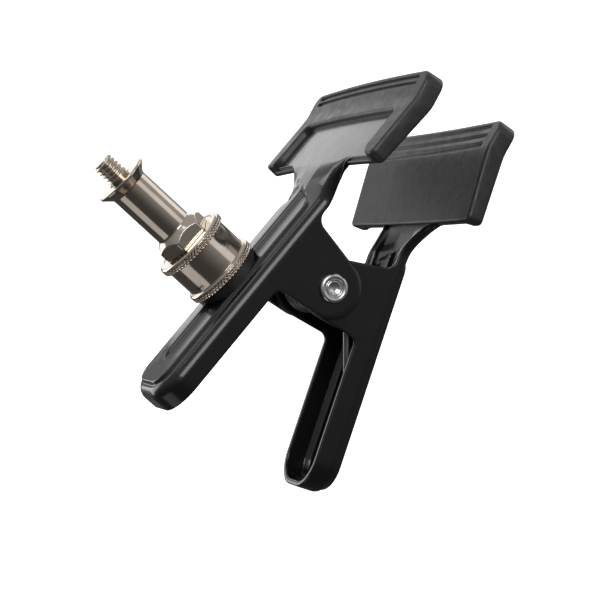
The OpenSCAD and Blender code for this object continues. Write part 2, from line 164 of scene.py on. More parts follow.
def clustered(low: float, high: float, step: float, centres: list[tuple[float, float, int]],
              *extra: Array) -> Array:
    """Grid lines from low to high at an even step, with finer lines round some centres.

    Args:
        low: First line.
        high: Last line.
        step: Spacing of the even lines.
        centres: For each centre its place, the half width of its fine zone and its number of lines.
        extra: More lines, which are kept as they are.

    Returns:
        Rising places of the lines.
    """
    clear, slack, decimals = 0.3 * step, 1e-6, 2
    even = np.linspace(low, high, int(math.ceil((high - low) / step)) + 1)
    keep = np.ones(even.shape, bool)
    for c, w, _ in centres:
        keep &= np.abs(even - c) > w + clear
    keep[[0, -1]] = True
    fine = [np.linspace(c - w, c + w, n) for c, w, n in centres]
    lines = np.unique(np.round(np.concatenate([even[keep], *fine, *extra]), decimals))
    return lines[(lines >= low - slack) & (lines <= high + slack)]


def grid_faces(rows: int, cols: int, wrap: bool, first: int = 0) -> Array:
    """Quads of a grid of rows x cols vertices, numbered row by row.

    Args:
        rows: Number of rows.
        cols: Number of columns.
        wrap: Whether the last column joins the first one.
        first: Number of the grid's first vertex.

    Returns:
        Array of quads.
    """
    i = np.arange(rows - 1)[:, None] * cols
    j = np.arange(cols if wrap else cols - 1)[None, :]
    k = (j + 1) % cols
    quads = np.stack([i + j, i + cols + j, i + cols + k, i + k], axis=-1)
    return quads.reshape(-1, 4) + first


def closed_grid(points: Array, merge: float) -> Surface:
    """Surface of rows x columns x 3 points whose last column joins the first one."""
    return Surface(points, grid_faces(*points.shape[:2], True), merge)


def make_mesh(name: str, surface: Surface, material: bpy.types.Material) -> bpy.types.Object:
    """Makes a smooth-shaded object of a surface, with faces turned outwards.

    Args:
        name: Name of the object.
        surface: Its points and faces.
        material: Its finish.

    Returns:
        The new object, at the origin.
    """
    mesh = bpy.data.meshes.new(name)
    mesh.from_pydata((surface.points.reshape(-1, 3) * MM).tolist(), [], surface.quads.tolist())
    bm = bmesh.new()
    bm.from_mesh(mesh)
    if surface.merge > 0.0:
        bmesh.ops.remove_doubles(bm, verts=bm.verts, dist=surface.merge * MM)
    bmesh.ops.recalc_face_normals(bm, faces=bm.faces)
    bm.to_mesh(mesh)
    bm.free()
    mesh.polygons.foreach_set("use_smooth", np.ones(len(mesh.polygons), bool))
    mesh.materials.append(material)
    mesh.update()
    piece = bpy.data.objects.new(name, mesh)
    bpy.context.collection.objects.link(piece)
    return piece


def revolve(radius: Array, height: Array, angle: Array) -> Surface:
    """Closed surface of points (r cos a, r sin a, h) for rows of a profile and columns of an angle.

    Args:
        radius: Radius of each row, or of each row and column; the first and last rows are poles.
        height: Height of each row, as a column.
        angle: Angle of each column, in radians, without the closing one.

    Returns:
        The surface.
    """
    merge = 0.004
    sides = radius * np.cos(angle), radius * np.sin(angle)
    points = np.stack([*sides, np.broadcast_to(height, sides[0].shape)], axis=-1)
    return closed_grid(points, merge)


def round_angles(count: int) -> Array:
    """Even angles of a full turn without the closing one, as a row."""
    return np.linspace(0.0, FULL_TURN, count, endpoint=False)[None, :]


def rounded_profile(corners: list[Triple], steps: int = 6) -> Array:
    """Polyline whose corners are eased, each by its own length.

    A corner p of length f between unit directions a and b gives the quadratic curve from p - f a to
    p + f b with p as its control point.

    Args:
        corners: Radius, height and easing length of each corner.
        steps: Points on each curve.

    Returns:
        Points of radius and height.
    """
    most = 0.48
    p = np.array([c[:2] for c in corners], float)
    out = [p[:1]]
    t = np.linspace(0.0, 1.0, steps)[:, None]
    for i in range(1, len(p) - 1):
        f = corners[i][2]
        if f <= 0.0:
            out.append(p[i:i + 1])
            continue
        a, b = (p[i] + unit(d) * min(f, most * np.linalg.norm(d))
                for d in (p[i - 1] - p[i], p[i + 1] - p[i]))
        out.append((1 - t) ** 2 * a + 2 * t * (1 - t) * p[i] + t ** 2 * b)
    return np.concatenate([*out, p[-1:]])


def resampled(profile: Array, step: float) -> Array:
    """Polyline with points added so that none of its runs is longer than a step."""
    return joined(*[np.linspace(a, b, max(2, int(np.linalg.norm(b - a) / step) + 2))
                    for a, b in zip(profile[:-1], profile[1:])])


# ------------------------------------------------------------------------------------ finishes

# Range that most of a noise lies in, and the colour sockets of a Mix node.
NOISE_LOW, NOISE_HIGH = 0.3, 0.7
MIX_DARK, MIX_LIGHT, MIX_OUT = 6, 7, 2


def wire(tree: bpy.types.NodeTree, kind: str, values: dict, links: dict,
         **settings: object) -> bpy.types.NodeOutputs:
    """Adds a node to a tree.

    Args:
        tree: The tree.
        kind: The node's type.
        values: Values of its inputs.
        links: Sockets that feed its inputs.
        settings: Its own properties.

    Returns:
        The node's outputs.
    """
    node = tree.nodes.new(kind)
    for label, value in settings.items():
        setattr(node, label, value)
    for label, value in values.items():
        node.inputs[label].default_value = value
    for label, socket in links.items():
        tree.links.new(socket, node.inputs[label])
    return node.outputs


def noise_group(turned: bool) -> bpy.types.NodeTree:
    """Node group of a noise: a value between two limits, and the noise itself as a height.

    Args:
        turned: Whether it takes the radius and the axial place alone, as a lathe tool's rings.

    Returns:
        The group, made once.
    """
    name = "turning_marks" if turned else "mottle"
    if name in bpy.data.node_groups:
        return bpy.data.node_groups[name]
    tree = bpy.data.node_groups.new(name, "ShaderNodeTree")
    for label in ("Vector", "Scale", "Detail", "Low", "High"):
        kind = "NodeSocketVector" if label == "Vector" else "NodeSocketFloat"
        tree.interface.new_socket(label, in_out="INPUT", socket_type=kind)
    for label in ("Value", "Height"):
        tree.interface.new_socket(label, in_out="OUTPUT", socket_type="NodeSocketFloat")
    given = wire(tree, "NodeGroupInput", {}, {})
    place = given["Vector"]
    if turned:
        split = wire(tree, "ShaderNodeSeparateXYZ", {}, {"Vector": place})
        flat = wire(tree, "ShaderNodeCombineXYZ", {}, {"X": split["X"], "Y": split["Y"]})
        radius = wire(tree, "ShaderNodeVectorMath", {}, {0: flat["Vector"]}, operation="LENGTH")
        rings = {"X": radius["Value"], "Y": split["Z"]}
        place = wire(tree, "ShaderNodeCombineXYZ", {}, rings)["Vector"]
    height = wire(tree, "ShaderNodeTexNoise", {}, {
        "Vector": place, "Scale": given["Scale"], "Detail": given["Detail"]})["Fac"]
    span = {"From Min": NOISE_LOW, "From Max": NOISE_HIGH}
    value = wire(tree, "ShaderNodeMapRange", span, {
        "Value": height, "To Min": given["Low"], "To Max": given["High"]})["Result"]
    wire(tree, "NodeGroupOutput", {}, {"Value": value, "Height": height})
    return tree


@dataclass
class Bench:
    """A new material with its shader, coordinates and the calls that wire its noises."""

    name: str
    tree: bpy.types.NodeTree = field(init=False)
    material: bpy.types.Material = field(init=False)
    shader: bpy.types.Node = field(init=False)
    place: bpy.types.NodeSocket = field(init=False)

    def __post_init__(self) -> None:
        """Makes the material with its Principled shader and Object coordinates."""
        self.material = bpy.data.materials.new(self.name)
        self.material.use_nodes = True
        self.tree = self.material.node_tree
        self.shader = self.tree.nodes["Principled BSDF"]
        self.place = self.tree.nodes.new("ShaderNodeTexCoord").outputs["Object"]

    def turned(self, turn: Triple, centre: Triple) -> bpy.types.NodeSocket:
        """Coordinates about a centre in metres, turned so that an axis lies on z."""
        move = wire(self.tree, "ShaderNodeVectorMath", {1: centre}, {0: self.place},
                    operation="SUBTRACT")["Vector"]
        return wire(self.tree, "ShaderNodeMapping", {"Rotation": turn}, {"Vector": move})["Vector"]

    def noise(self, scale: float, detail: float, limits: tuple[float, float] = (0.0, 1.0),
              rings: Optional[bpy.types.NodeSocket] = None) -> bpy.types.NodeOutputs:
        """Places a noise group, of tool rings where turned coordinates are given."""
        values = dict(zip(("Scale", "Detail", "Low", "High"), (scale, detail, *limits)))
        return wire(self.tree, "ShaderNodeGroup", values, {"Vector": rings or self.place},
                    node_tree=noise_group(rings is not None))

    def tint(self, fac: bpy.types.NodeSocket, dark: Triple, light: Triple) -> None:
        """Mixes the base colour from dark to light by a mask."""
        colours = {MIX_DARK: (*dark, 1.0), MIX_LIGHT: (*light, 1.0)}
        mix = wire(self.tree, "ShaderNodeMix", colours, {0: fac}, data_type="RGBA")
        self.tree.links.new(mix[MIX_OUT], self.shader.inputs["Base Color"])

    def roughen(self, value: bpy.types.NodeSocket) -> None:
        """Feeds the shader's roughness."""
        self.tree.links.new(value, self.shader.inputs["Roughness"])

    def bump(self, height: bpy.types.NodeSocket, distance: float, strength: float) -> None:
        """Adds a bump in line with any bump that is already there.

        Args:
            height: Height that varies over the surface.
            distance: Height of the bump in metres.
            strength: Strength of the bump.
        """
        normal = self.shader.inputs["Normal"]
        links = {"Height": height}
        if normal.links:
            links["Normal"] = normal.links[0].from_socket
        values = {"Distance": distance, "Strength": strength}
        self.tree.links.new(wire(self.tree, "ShaderNodeBump", values, links)["Normal"], normal)


@dataclass(frozen=True)
class Skin:
    """A finish whose colour and gloss follow one slow noise, with finer noises as bumps.

    slow is the slow noise's scale and detail; each bump is a scale, a detail, a height in metres
    and a strength; plain holds values of the shader's own sockets.
    """

    name: str
    dark: Triple
    light: Triple
    rough: tuple[float, float]
    slow: tuple[float, float]
    bumps: tuple = ()
    plain: dict = field(default_factory=dict)
    tint_by: str = "Height"

    def material(self) -> bpy.types.Material:
        """Builds the finish.

        Returns:
            The material.
        """
        b = Bench(self.name)
        cloud = b.noise(*self.slow, self.rough)
        b.tint(cloud[self.tint_by], self.dark, self.light)
        b.roughen(cloud["Value"])
        for scale, detail, distance, strength in self.bumps:
            b.bump(b.noise(scale, detail)["Height"], distance, strength)
        for label, value in self.plain.items():
            b.shader.inputs[label].default_value = value
        return b.material


@dataclass(frozen=True)
class TurnedMetal:
    """Lathe-turned, plated metal with fine rings about its axis."""

    name: str
    dark: Triple
    light: Triple
    rough: tuple[float, float]
    axis: Axis = Axis.ALONG_Z
    centre: Triple = (0.0, 0.0, 0.0)
    ring_scale: float = 2600.0
    ring_detail: float = 3.0
    ring_height: float = 0.00004
    ring_bump: float = 0.10
    cloud: tuple[float, float] = (140.0, 4.0)

    def material(self) -> bpy.types.Material:
        """Builds the metal from tool rings for gloss and bump and a slow noise for colour.

        Returns:
            The material.
        """
        b = Bench(self.name)
        place = b.turned(self.axis.value, tuple(v * MM for v in self.centre))
        rings = b.noise(self.ring_scale, self.ring_detail, self.rough, place)
        b.tint(b.noise(*self.cloud)["Value"], self.dark, self.light)
        b.roughen(rings["Value"])
        b.bump(rings["Height"], self.ring_height, self.ring_bump)
        b.shader.inputs["Metallic"].default_value = 1.0
        return b.material


def rubber(name: str, dark: Triple, light: Triple, rough: tuple, pore: float) -> Skin:
    """Moulded black rubber: mottled satin with fine pores of a given strength."""
    pores = ((900.0, 5.0, 0.00025, pore), (3200.0, 3.0, 0.00008, pore))
    return Skin(name, dark, light, rough, (330.0, 8.0), pores, {"IOR": 1.55})


# Stoved gloss paint with a faint orange peel, rubber, plated metals, oiled wire and a pale floor.
PAINT = Skin("gloss_black_paint", (0.0065, 0.0065, 0.007), (0.011, 0.011, 0.0115), (0.21, 0.25),
             (170.0, 1.5), ((170.0, 1.5, 0.0001, 0.015), (1500.0, 2.0, 0.00001, 0.05)),
             {"Coat Weight": 0.35, "Coat Roughness": 0.08, "IOR": 1.5})
BOOT_RUBBER = rubber("boot_rubber", (0.008, 0.008, 0.008), (0.050, 0.050, 0.051),
                     (0.30, 0.48), 0.3)
WASHER_RUBBER = rubber("washer_rubber", (0.006, 0.006, 0.006), (0.014, 0.014, 0.014),
                       (0.35, 0.55), 0.12)
NICKEL = TurnedMetal("nickel_plate", (0.60, 0.525, 0.445), (0.70, 0.62, 0.53), (0.07, 0.16))
ZINC = TurnedMetal("zinc_plate", (0.52, 0.52, 0.53), (0.66, 0.66, 0.665), (0.18, 0.32))
RIVET_ZINC = TurnedMetal("rivet_zinc", (0.66, 0.66, 0.67), (0.80, 0.80, 0.80), (0.16, 0.30),
                         Axis.ALONG_Y, PIVOT, ring_scale=1800.0, ring_bump=0.06)
WIRE = Skin("spring_steel", (0.10, 0.095, 0.09), (0.26, 0.25, 0.235), (0.26, 0.44), (420.0, 5.0),
            ((2400.0, 3.0, 0.00004, 0.15),), {"Metallic": 1.0})
FLOOR = Skin("pale_floor", (0.86, 0.86, 0.86), (0.90, 0.90, 0.90), (0.8, 0.9), (6.0, 2.0), (),
             {"Specular IOR Level": 0.0, "Emission Strength": 1.0,
              "Emission Color": (1.0, 1.0, 1.0, 1.0)}, "Value")


def repaint(node: str, material: bpy.types.Material) -> None:
    """Puts a procedural finish on a CAD node whose shape stays.

    Args:
        node: Name of the CAD node.
        material: Its finish.
    """
    piece = bpy.data.objects[node]
    if not piece.material_slots:
        piece.data.materials.append(material)
    for slot in piece.material_slots:
        slot.material = material
    LOG.info("%s: keeps its CAD shape", node)


# ---------------------------------------------------------------------------------- the clamp

class Part:
    """A sub-assembly that works out its own surface and becomes a dressed piece."""

    body: Body

    def surface(self) -> Surface:
        """Works out the surface in the shared frame."""
        raise NotImplementedError

    def carry(self, piece: bpy.types.Object) -> None:
        """Lets the piece ride on its body."""
        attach(piece, self.body.value)

    def build(self, name: str, node: str, material: bpy.types.Material, slot: Slot) -> None:
        """Makes the piece's mesh and dresses it.

        Args:
            name: Name of the piece.
            node: CAD node that it replaces.
            material: Its finish.
            slot: Slot of the record; not used.
        """
        piece = make_mesh(name, self.surface(), material)
        self.carry(piece)
        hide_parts(node)
        LOG.info("%s: %d faces for %s", name, len(piece.data.polygons), node)


@dataclass
class JawForm:
    """Side view and curve of a jaw, shared by the steel plate and its boot."""

    rear: float = 27.4
    bend_x: float = 47.0
    tip_angle: float = math.radians(12.0)
    bend_run: float = 2.4
    plate_z: float = 23.2
    curve_r: float = 1000.0
    table_back: float = 6.0
    table_ahead: float = 12.0
    table_lines: int = 721

    def path(self, u: Array) -> tuple[Array, Array, Array]:
        """Side view of the plate's outer face: level, then turned up at the tip by a short bend.

        The slope angle is tip_angle times the cubic step over the bend's run, and the place is the
        running sum of its cosine and sine.

        Args:
            u: Distance along the plate.

        Returns:
            Forward place, rise and slope angle at u.
        """
        fine = np.linspace(self.bend_x - self.table_back, self.bend_x + self.table_ahead,
                           self.table_lines)
        slope = self.tip_angle * smooth((fine - self.bend_x + self.bend_run) / (2 * self.bend_run))
        step = fine[1] - fine[0]
        mid = 0.5 * (slope[1:] + slope[:-1])
        run, rise = (np.concatenate([[0.0], np.cumsum(part)]) * step
                     for part in (np.cos(mid), np.sin(mid)))
        before = np.minimum(u - fine[0], 0.0)
        return (np.interp(u, fine, run + fine[0]) + before, np.interp(u, fine, rise),
                np.interp(u, fine, slope))

    def sag(self, y: Array) -> Array:
        """Drop R - sqrt(R^2 - y^2) of the jaw's curve at y."""
        return self.curve_r - np.sqrt(self.curve_r ** 2 - y * y)

    def place(self, u: Array, y: Array, off: Array) -> Array:
        """Points at a distance along the plate, across it and off its outer face.

        Args:
            u: Distance along the plate.
            y: Place across the plate.
            off: Height off the outer face, along its normal.

        Returns:
            Points in the arm's own frame.
        """
        x, rise, slope = self.path(u)
        z = self.plate_z + rise + off * np.cos(slope) - self.sag(y)
        return np.stack(np.broadcast_arrays(x - off * np.sin(slope), y, z), axis=-1)


def to_frame(body: Body, p: Array) -> Array:
    """Moves points to the pivot; the lower arm is mirrored in z and turned up by the spread.

    Args:
        body: Body of the arm.
        p: Points in the arm's own frame.

    Returns:
        Points in the shared frame, in millimetres.
    """
    if body is Body.LOWER:
        c, s = math.cos(SPREAD), math.sin(SPREAD)
        x, y, z = np.moveaxis(p, -1, 0)
        p = np.stack([c * x + s * z, y, s * x - c * z], axis=-1)
    return p + np.asarray(PIVOT)


@dataclass
class SheetArm(Part):
    """One pressed arm: channel with handle, cheeks, flared neck and jaw plate in one skin."""

    body: Body
    jaw: JawForm
    half: float
    bend_r: float = 3.6
    crease: float = 0.3
    # Middle rib and the panel at each side of it.
    rib_half: float = 1.2
    rib_wall: float = 1.6
    rib_h: float = 1.0
    rib_fade: float = 0.5
    panel_half: float = 10.5
    panel_step: float = 0.55
    step_round: float = 0.12
    panel_drop: float = 1.3
    panel_tip: float = 18.4
    panel_lean: float = 0.45
    end_wall: float = 1.1
    end_start: float = 0.1
    corner_reach: float = 2.5
    corner_soft: float = 0.4
    corner_cut: float = 0.1
    groove: float = 0.2
    groove_w: float = 0.6
    groove_in: float = 0.35
    # Handle, cheeks and neck.
    handle_len: float = 55.0
    end_r: float = 9.0
    flange_depth: float = 10.0
    ear_r: float = 8.7
    lean: float = math.radians(9.0)
    arch_r: float = 2.5
    throat_r: float = 3.5
    neck_lip: float = 0.4
    lip_back: float = 3.2
    lip_fade: float = 4.0
    # Jaw plate and sheet edge.
    jaw_rise: float = 1.2
    plate_half: float = 39.4
    tip_len: float = 7.0
    corner_r: float = 3.0
    flare_r: float = 12.0
    edge_r: float = 0.4
    edge_mid: float = 0.3
    plate_inset: float = 0.5
    flat_bend: float = 0.15
    # Places on the middle line that the columns run to, and numbers of rows and columns.
    spine_tip: Triple = (2.5, 6.0, 8.0)
    spine_plate: tuple = (38.0, 30.0)
    spine_cheek: tuple = (14.4, 8.6, 4.0, -4.0, -10.5, -14.5)
    spine_end: tuple = (3.0, 4.2)
    wall_rows: int = 12
    bend_rows: int = 13
    web_levels: int = 58
    plan_counts: tuple = (22, 8, 18, 12, 36, 18, 8)
    cheek_counts: tuple = (5, 12, 12, 40, 10, 12, 24)
    flange_mark: int = 3

    def bend_z(self) -> float:
        """Height of the bend's centre below the flat strip."""
        edge = self.half - self.bend_r + self.bend_r * math.sin(SHOULDER)
        return -(edge - WEB_FLAT / 2) * math.tan(SHOULDER) - self.bend_r * math.cos(SHOULDER)

    def cheek_outline(self) -> Array:
        """Lower edge of a cheek in side view, from the neck round the ear to the handle's flange.

        Straight leaning edges are tangent to the ear's circle; a fillet of the throat's or the
        arch's radius joins each to its level edge.

        Returns:
            Points of x and z, from front to rear.
        """
        lead_n, throat_n, down_n, ear_n, up_n, arch_n, flange_n = self.cheek_counts
        neck_z = WEB_RISE + self.bend_z() - self.neck_lip
        flange_z = WEB_RISE - self.flange_depth

        def fillet(level: float, r: float, count: int) -> Array:
            """Arc from a level edge to the leaning edge."""
            cx = (self.ear_r + r + (level - r) * math.sin(self.lean)) / math.cos(self.lean)
            return np.array([cx, level - r]) + r * ring(QUARTER_TURN, HALF_TURN - self.lean, count)

        throat = fillet(neck_z, self.throat_r, throat_n)
        arch = fillet(flange_z, self.arch_r, arch_n)[::-1] * np.array([-1.0, 1.0])
        ear = self.ear_r * ring(-self.lean, -HALF_TURN + self.lean, ear_n)
        lead = np.linspace([self.jaw.rear - self.flare_r, neck_z], throat[0], lead_n)
        flange = np.linspace(arch[-1], [self.end_r - self.handle_len, flange_z], flange_n)
        return joined(lead, throat, np.linspace(throat[-1], ear[0], down_n), ear,
                      np.linspace(ear[-1], arch[0], up_n), arch, flange)

    def spine_of_cheek(self, edge: Array) -> Array:
        """Places along the web that a cheek's columns run to, even over each part of its edge.

        Args:
            edge: The cheek's lower edge.

        Returns:
            Places along the arm.
        """
        length = np.concatenate([[0.0], np.cumsum(np.linalg.norm(np.diff(edge, axis=0), axis=1))])
        marks = np.cumsum([0] + [n - 1 for n in self.cheek_counts[:-1]] + [self.flange_mark])
        places = np.array([edge[0, 0], *self.spine_cheek, edge[marks[-1], 0]])
        even = np.interp(length, length[marks], places)
        return np.where(length < length[marks[-1]], even, edge[:, 0])

    def half_outline(self) -> tuple[Array, Array, Array, Array, Array]:
        """Outline of the far half seen from above, from the tip's middle round to the handle's end.

        Returns:
            Plan points, inward normals, places on the middle line, cheek edges of x and z (nan
            where there is no cheek) and the strength of the turned-down edge from 0 to 1.
        """
        tip, rear, end = self.jaw.bend_x + self.tip_len, self.jaw.rear, -self.handle_len
        w, r, f, h, e = self.plate_half, self.corner_r, self.flare_r, self.half, self.end_r
        back = end + e
        tip_n, corner_n, side_n, rear_n, flare_n, turn_n, end_n = self.plan_counts
        first, corner, side = (tip - d for d in self.spine_tip)
        wide, narrow = self.spine_plate
        turned, last = back - self.spine_end[0], end + self.spine_end[1]
        runs: list[tuple[Array, Array, Array]] = []

        def run(points: Array, normals: Array, start: float, stop: float) -> None:
            """Adds one run of the outline with its places on the middle line."""
            runs.append((points, np.broadcast_to(normals, points.shape).copy(),
                         np.linspace(start, stop, len(points))))

        run(np.linspace([tip, 0.0], [tip, w - r], tip_n), np.array([-1.0, 0.0]), first, corner)
        arc = ring(0.0, QUARTER_TURN, corner_n)
        run(np.array([tip - r, w - r]) + r * arc, -arc, corner, side)
        run(np.linspace([tip - r, w], [rear, w], side_n), np.array([0.0, -1.0]), side, wide)
        runs[-1][1][-1] = np.sqrt(0.5) * np.array([1.0, -1.0])
        run(np.linspace([rear, w], [rear, h + f], rear_n), np.array([1.0, 0.0]), wide, narrow)
        arc = ring(0.0, -QUARTER_TURN, flare_n)
        run(np.array([rear - f, h + f]) + f * arc, arc, narrow, rear - f)
        ahead = sum(len(p) - 1 for p, _, _ in runs)
        edge = self.cheek_outline()
        n, top = len(edge), self.spine_of_cheek(edge)
        runs.append((np.stack([top, np.full(n, h)], -1), np.tile([0.0, -1.0], (n, 1)), top))
        arc = ring(QUARTER_TURN, HALF_TURN, turn_n)
        run(np.array([back, h - e]) + e * arc, -arc, back, turned)
        run(np.linspace([end, h - e], [end, 0.0], end_n), np.array([1.0, 0.0]), turned, last)
        points, normals, middle = (joined(*part) for part in zip(*runs))
        cheek = np.full(points.shape, np.nan)
        cheek[ahead:ahead + n] = edge
        cheek[ahead + n:, 0] = points[ahead + n:, 0]
        cheek[ahead + n:, 1] = WEB_RISE - self.flange_depth
        strength = np.ones(len(points))
        past = points[:ahead, 0] - BOOT_REAR + self.lip_back
        strength[:ahead] = 1.0 - smooth(past / self.lip_fade)
        return points, normals, middle, cheek, strength

    def crown(self, u: Array, y: Array) -> Array:
        """Height of the outer skin off the flat strip, without the bends at its edges.

        Two shoulders fall by tan(slope) outside the flat strip, with the pressed panels in them;
        over the neck they flatten by the cubic step while the skin rises to the jaw plate and takes
        on its curve. Behind, the distance to the handle's rounded end takes the place of the
        distance from the side.

        Args:
            u: Distance along the arm.
            y: Place across the arm.

        Returns:
            Heights.
        """
        start = self.jaw.rear - self.flare_r
        k = smooth((u - start) / (BOOT_REAR - start))
        depth = corner_depth(u + self.handle_len, self.half - np.abs(y), self.end_r)
        across = np.where(u < 0.0, self.half - depth, np.abs(y))
        fall = math.tan(SHOULDER) * soft_ramp(across - WEB_FLAT / 2, self.crease)
        inside, panel, groove = self.panel(u, across)
        fall = fall + (panel - fall) * inside + groove
        return -fall * (1.0 - k) + (self.jaw_rise - self.jaw.sag(y)) * k

    def panel(self, u: Array, across: Array) -> tuple[Array, Array, Array]:
        """Pressed panel at each side of the web's middle rib, dished and ending in a small step.

        Its drop is the rib's height by the cubic step over the rib's wall, then a dish
        h (1 - (1 - t)^2) that levels out at the panel's edge, then a steep line over the step down
        to the shoulder. It ends towards the neck where u + lean (a - rib) = tip; the nearer of the
        edge and that end gives the share from 0 to 1. A shallow groove, depth exp(-(d / width)^2),
        follows both.

        Args:
            u: Distance along the arm.
            across: Distance from the middle line.

        Returns:
            Share of the panel, its drop and the groove's depth.
        """
        foot = self.rib_half + self.rib_wall
        outer = self.panel_half + self.panel_step
        low = math.tan(SHOULDER) * (outer - WEB_FLAT / 2)
        t = np.clip((across - foot) / (self.panel_half - foot), 0.0, 1.0)
        drop = self.rib_h * smooth((across - self.rib_half) / self.rib_wall)
        drop = drop + (self.panel_drop - self.rib_h) * (1.0 - (1.0 - t) ** 2)
        steep = (low - self.panel_drop) / self.panel_step
        drop = drop + steep * soft_ramp(across - self.panel_half, self.step_round)
        ahead = self.panel_tip - u - self.panel_lean * (across - self.rib_half)
        ahead = ahead / math.hypot(1.0, self.panel_lean)
        edge = outer - across
        near = soft_ramp(self.corner_reach - np.abs(ahead - edge), self.corner_soft)
        inner = np.minimum(ahead, edge) - self.corner_cut * near ** 2
        groove = self.groove * np.exp(-((inner - self.groove_in) / self.groove_w) ** 2)
        return (smooth((inner + self.end_start) / self.end_wall), drop,
                groove * smooth(across / self.rib_half - self.rib_fade))

    def skin(self) -> tuple[Array, Array]:
        """Outer skin as rows from the edge to the middle line and columns round the outline.

        From the edge a cheek rises straight to the bend, the bend follows a circle of its radius
        from upright to the shoulder's slope, and the web runs on to the middle line. The bend's
        drop and the cheek's height are scaled by the edge's strength, which fades over the flare.

        Returns:
            Points of rows x columns x 3 in the arm's own frame, and the sheet's edge.
        """
        far = self.half_outline()
        out, normal, middle, cheek, strength = (np.concatenate([a, a[-2:0:-1]]) for a in far)
        for part in (out, normal):
            part[len(far[0]):, 1] *= -1.0
        r = self.bend_r
        angle = np.linspace(QUARTER_TURN, SHOULDER, self.bend_rows)
        inset = r - r * np.sin(angle)
        line = -(self.half - inset - WEB_FLAT / 2) * math.tan(SHOULDER)
        drop = (line - (self.bend_z() + r * np.cos(angle)))[:, None] * strength
        tight = self.flat_bend + (1.0 - self.flat_bend) * strength
        s = inset[:, None] * tight + self.plate_inset * (1.0 - strength)
        plan = out + normal * s[..., None]

        def raised(p: Array, less: Array) -> Array:
            """Puts plan points on the crown, less a drop."""
            return np.concatenate([p, (self.crown(p[..., 0], p[..., 1]) - less)[..., None]], -1)

        bend = raised(plan, drop)
        bare = np.isnan(cheek[:, 1])
        low_z = np.where(bare, bend[0, :, 2] - self.neck_lip * strength, cheek[:, 1] - WEB_RISE)
        edge = np.stack([np.where(bare, out[:, 0], cheek[:, 0]), out[:, 1], low_z], -1)
        low = edge + self.edge_back(edge, bend[0])
        up = (np.arange(self.wall_rows) / self.wall_rows)[:, None, None]
        wall = low + (bend[0] - low) * up
        edge_y = self.half - inset[-1]
        levels = np.linspace(edge_y, 0.0, self.web_levels + 1)[1:]
        t = (1.0 - levels / edge_y)[:, None, None]
        spine = np.stack([middle, np.zeros_like(middle)], -1)
        web = raised(plan[-1] + (spine - plan[-1]) * t, np.zeros(1))

        def on_jaw(p: Array) -> Array:
            """Carries points along the jaw's side view."""
            x, rise, _ = self.jaw.path(p[..., 0])
            return np.stack([x, p[..., 1], WEB_RISE + p[..., 2] + rise], axis=-1)

        return on_jaw(np.concatenate([wall, bend, web])), on_jaw(edge)

    def edge_back(self, low: Array, high: Array) -> Array:
        """Step from the sheet's edge to where its rounding starts, square to the edge.

        It is the part of the wall's direction that is square to the edge's run, as long as the
        rounding's radius and at most half of the wall.

        Args:
            low: Points of the edge.
            high: Points at the wall's other end.

        Returns:
            Steps.
        """
        run = unit(np.roll(low, -1, axis=0) - np.roll(low, 1, axis=0))
        wall = high - low
        square = wall - run * (wall * run).sum(-1, keepdims=True)
        length = np.maximum(np.linalg.norm(square, axis=-1, keepdims=True), TINY)
        return square / length * np.minimum(self.edge_r, 0.5 * length)

    def surface(self) -> Surface:
        """Gives the skin its thickness: outer rows, a rounded edge and inner rows.

        The inner skin lies a sheet's thickness along the skin's normal, the cross product of the
        two grid directions; four rows round the edge off.

        Returns:
            The arm, with rows from the outer middle line over the edge to the inner middle line.
        """
        merge = 0.002
        skin, edge = self.skin()
        along = np.roll(skin, -1, axis=1) - np.roll(skin, 1, axis=1)
        n = np.cross(np.gradient(skin, axis=0), along)
        n[-1, :, 1] = 0.0
        n = unit(n)
        if float(n[-1, :, 2].mean()) < 0.0:
            n = -n
        out, up = edge - skin[0], n[0]
        r = np.linalg.norm(out, axis=-1, keepdims=True)
        out, q = unit(out), self.edge_mid * r
        rim = np.stack([edge - q * out - q * up, edge - r * up, edge - (SHEET_T - r) * up,
                        edge - q * out - (SHEET_T - q) * up])
        points = to_frame(self.body, np.concatenate([skin[::-1], rim, skin - SHEET_T * n]))
        return closed_grid(points, merge)


